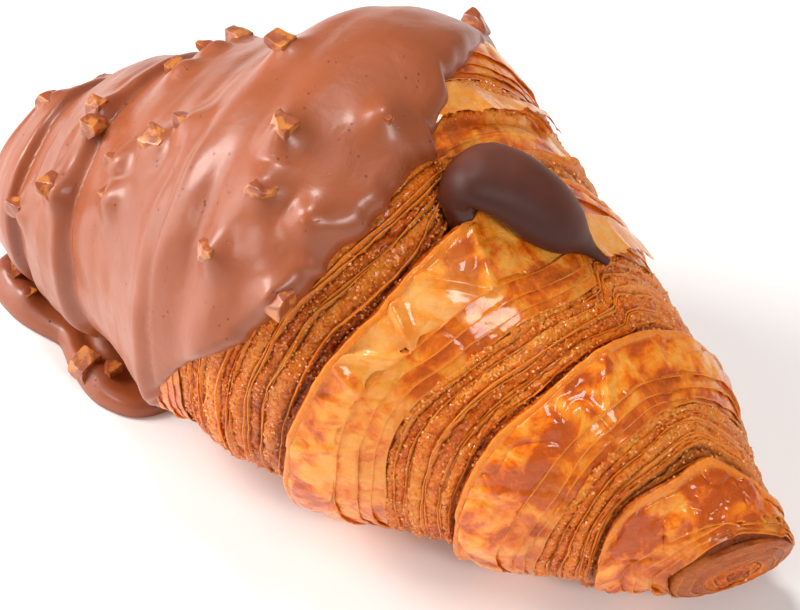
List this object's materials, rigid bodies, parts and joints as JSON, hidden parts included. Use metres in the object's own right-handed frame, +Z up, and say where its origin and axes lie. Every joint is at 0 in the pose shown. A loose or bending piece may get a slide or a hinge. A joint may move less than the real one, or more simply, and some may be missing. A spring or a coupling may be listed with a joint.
{
  "type": "chocolate croissant",
  "caption": "Straight layered butter croissant, one half dipped in nutty milk chocolate that has pooled at its foot, with dark filling welling from a slit on top.",
  "frame": {"origin": "middle of the base of the whole object, on the surface it rests on", "axes": "+X along the pastry towards its bare end, +Z up"},
  "size_m": [0.156, 0.08, 0.0759],
  "materials": {
    "baked_pastry": "egg-washed, oven-browned laminated dough: glossy skin, crumbly sugary layer edges",
    "milk_chocolate": "set milk chocolate, satin gloss",
    "dark_chocolate": "soft dark chocolate cream, wet gloss",
    "chopped_nut": "roasted chopped nut under a thin skin of chocolate, satin gloss"
  },
  "bodies": {
    "root": {"dark_chocolate_filling": "dark_chocolate", "milk_chocolate_coat": "milk_chocolate", "nut_piece_01": "chopped_nut", "nut_piece_02": "chopped_nut", "nut_piece_03": "chopped_nut", "nut_piece_04": "chopped_nut", "nut_piece_05": "chopped_nut", "nut_piece_06": "chopped_nut", "nut_piece_07": "chopped_nut", "nut_piece_08": "chopped_nut", "nut_piece_09": "chopped_nut", "nut_piece_10": "chopped_nut", "nut_piece_11": "chopped_nut", "nut_piece_12": "chopped_nut", "nut_piece_13": "chopped_nut", "nut_piece_14": "chopped_nut", "nut_piece_15": "chopped_nut", "nut_piece_16": "chopped_nut", "nut_piece_17": "chopped_nut", "nut_piece_18": "chopped_nut", "nut_piece_19": "chopped_nut", "nut_piece_20": "chopped_nut", "nut_piece_21": "chopped_nut", "nut_piece_22": "chopped_nut", "nut_piece_23": "chopped_nut", "nut_piece_24": "chopped_nut", "nut_piece_25": "chopped_nut", "nut_piece_26": "chopped_nut", "nut_piece_27": "chopped_nut", "nut_piece_28": "chopped_nut", "nut_piece_29": "chopped_nut", "nut_piece_30": "chopped_nut", "nut_piece_31": "chopped_nut", "nut_piece_32": "chopped_nut", "nut_piece_33": "chopped_nut", "nut_piece_34": "chopped_nut", "nut_piece_35": "chopped_nut", "nut_piece_36": "chopped_nut", "nut_piece_37": "chopped_nut", "nut_piece_38": "chopped_nut", "nut_piece_39": "chopped_nut", "nut_piece_40": "chopped_nut", "nut_piece_41": "chopped_nut", "nut_piece_42": "chopped_nut", "nut_piece_43": "chopped_nut", "pastry": "baked_pastry"}
  },
  "joints": []
}
